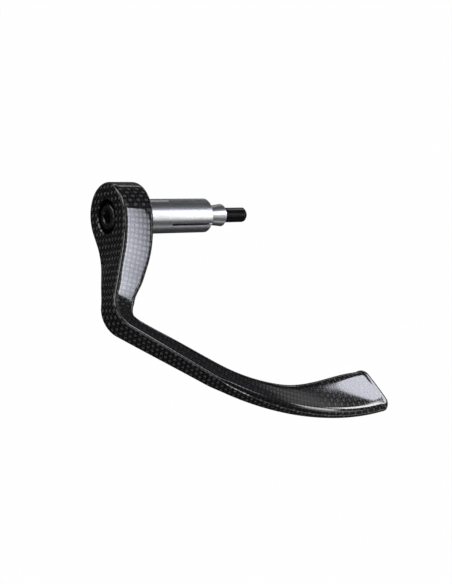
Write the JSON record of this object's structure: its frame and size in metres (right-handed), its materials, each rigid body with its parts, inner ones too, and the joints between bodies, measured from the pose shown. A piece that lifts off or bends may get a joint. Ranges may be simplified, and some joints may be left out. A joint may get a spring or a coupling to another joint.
{
  "type": "brake lever guard",
  "caption": "Moulded arm that reaches round the end of a brake lever, held in a handlebar's end by a slit expanding sleeve, a cone and a long screw.",
  "frame": {"origin": "centre of the head's inboard face, on the axis of the expanding sleeve, where the sleeve begins", "axes": "+X along the sleeve, inboard into the handlebar; -Y forward, the way the arm reaches; +Z square to the arm's plane, up when the arm lies level on a right-hand brake lever"},
  "size_m": [0.1204, 0.1035, 0.0264],
  "materials": {
    "carbon": "clear-coated carbon weave",
    "black_anodised": "black anodised",
    "turned_aluminium": "satin, turned",
    "cone_aluminium": "satin, turned",
    "black_steel": "black oxide, lightly oiled"
  },
  "bodies": {
    "sleeve": {"expander_sleeve": "turned_aluminium"},
    "arm": {"guard_arm": "carbon", "flanged_bush": "black_anodised"},
    "screw": {"clamp_screw": "black_steel"},
    "cone": {"expander_cone": "cone_aluminium"}
  },
  "joints": [
    {"name": "arm_swivel", "type": "hinge", "parent": "sleeve", "child": "arm", "pos_m": [0, 0, 0], "axis": [1, 0, 0], "continuous": true},
    {"name": "screw_turn", "type": "hinge", "parent": "sleeve", "child": "screw", "pos_m": [0, 0, 0], "axis": [1, 0, 0], "range_deg": [-2880, 0]},
    {"name": "cone_slide", "type": "slide", "parent": "sleeve", "child": "cone", "axis": [1, 0, 0], "range_m": [0, 0.0081]}
  ],
  "couplings": [
    {"joint": "cone_slide", "follows": "screw_turn", "m_per_rad": -0.00015915}
  ]
}
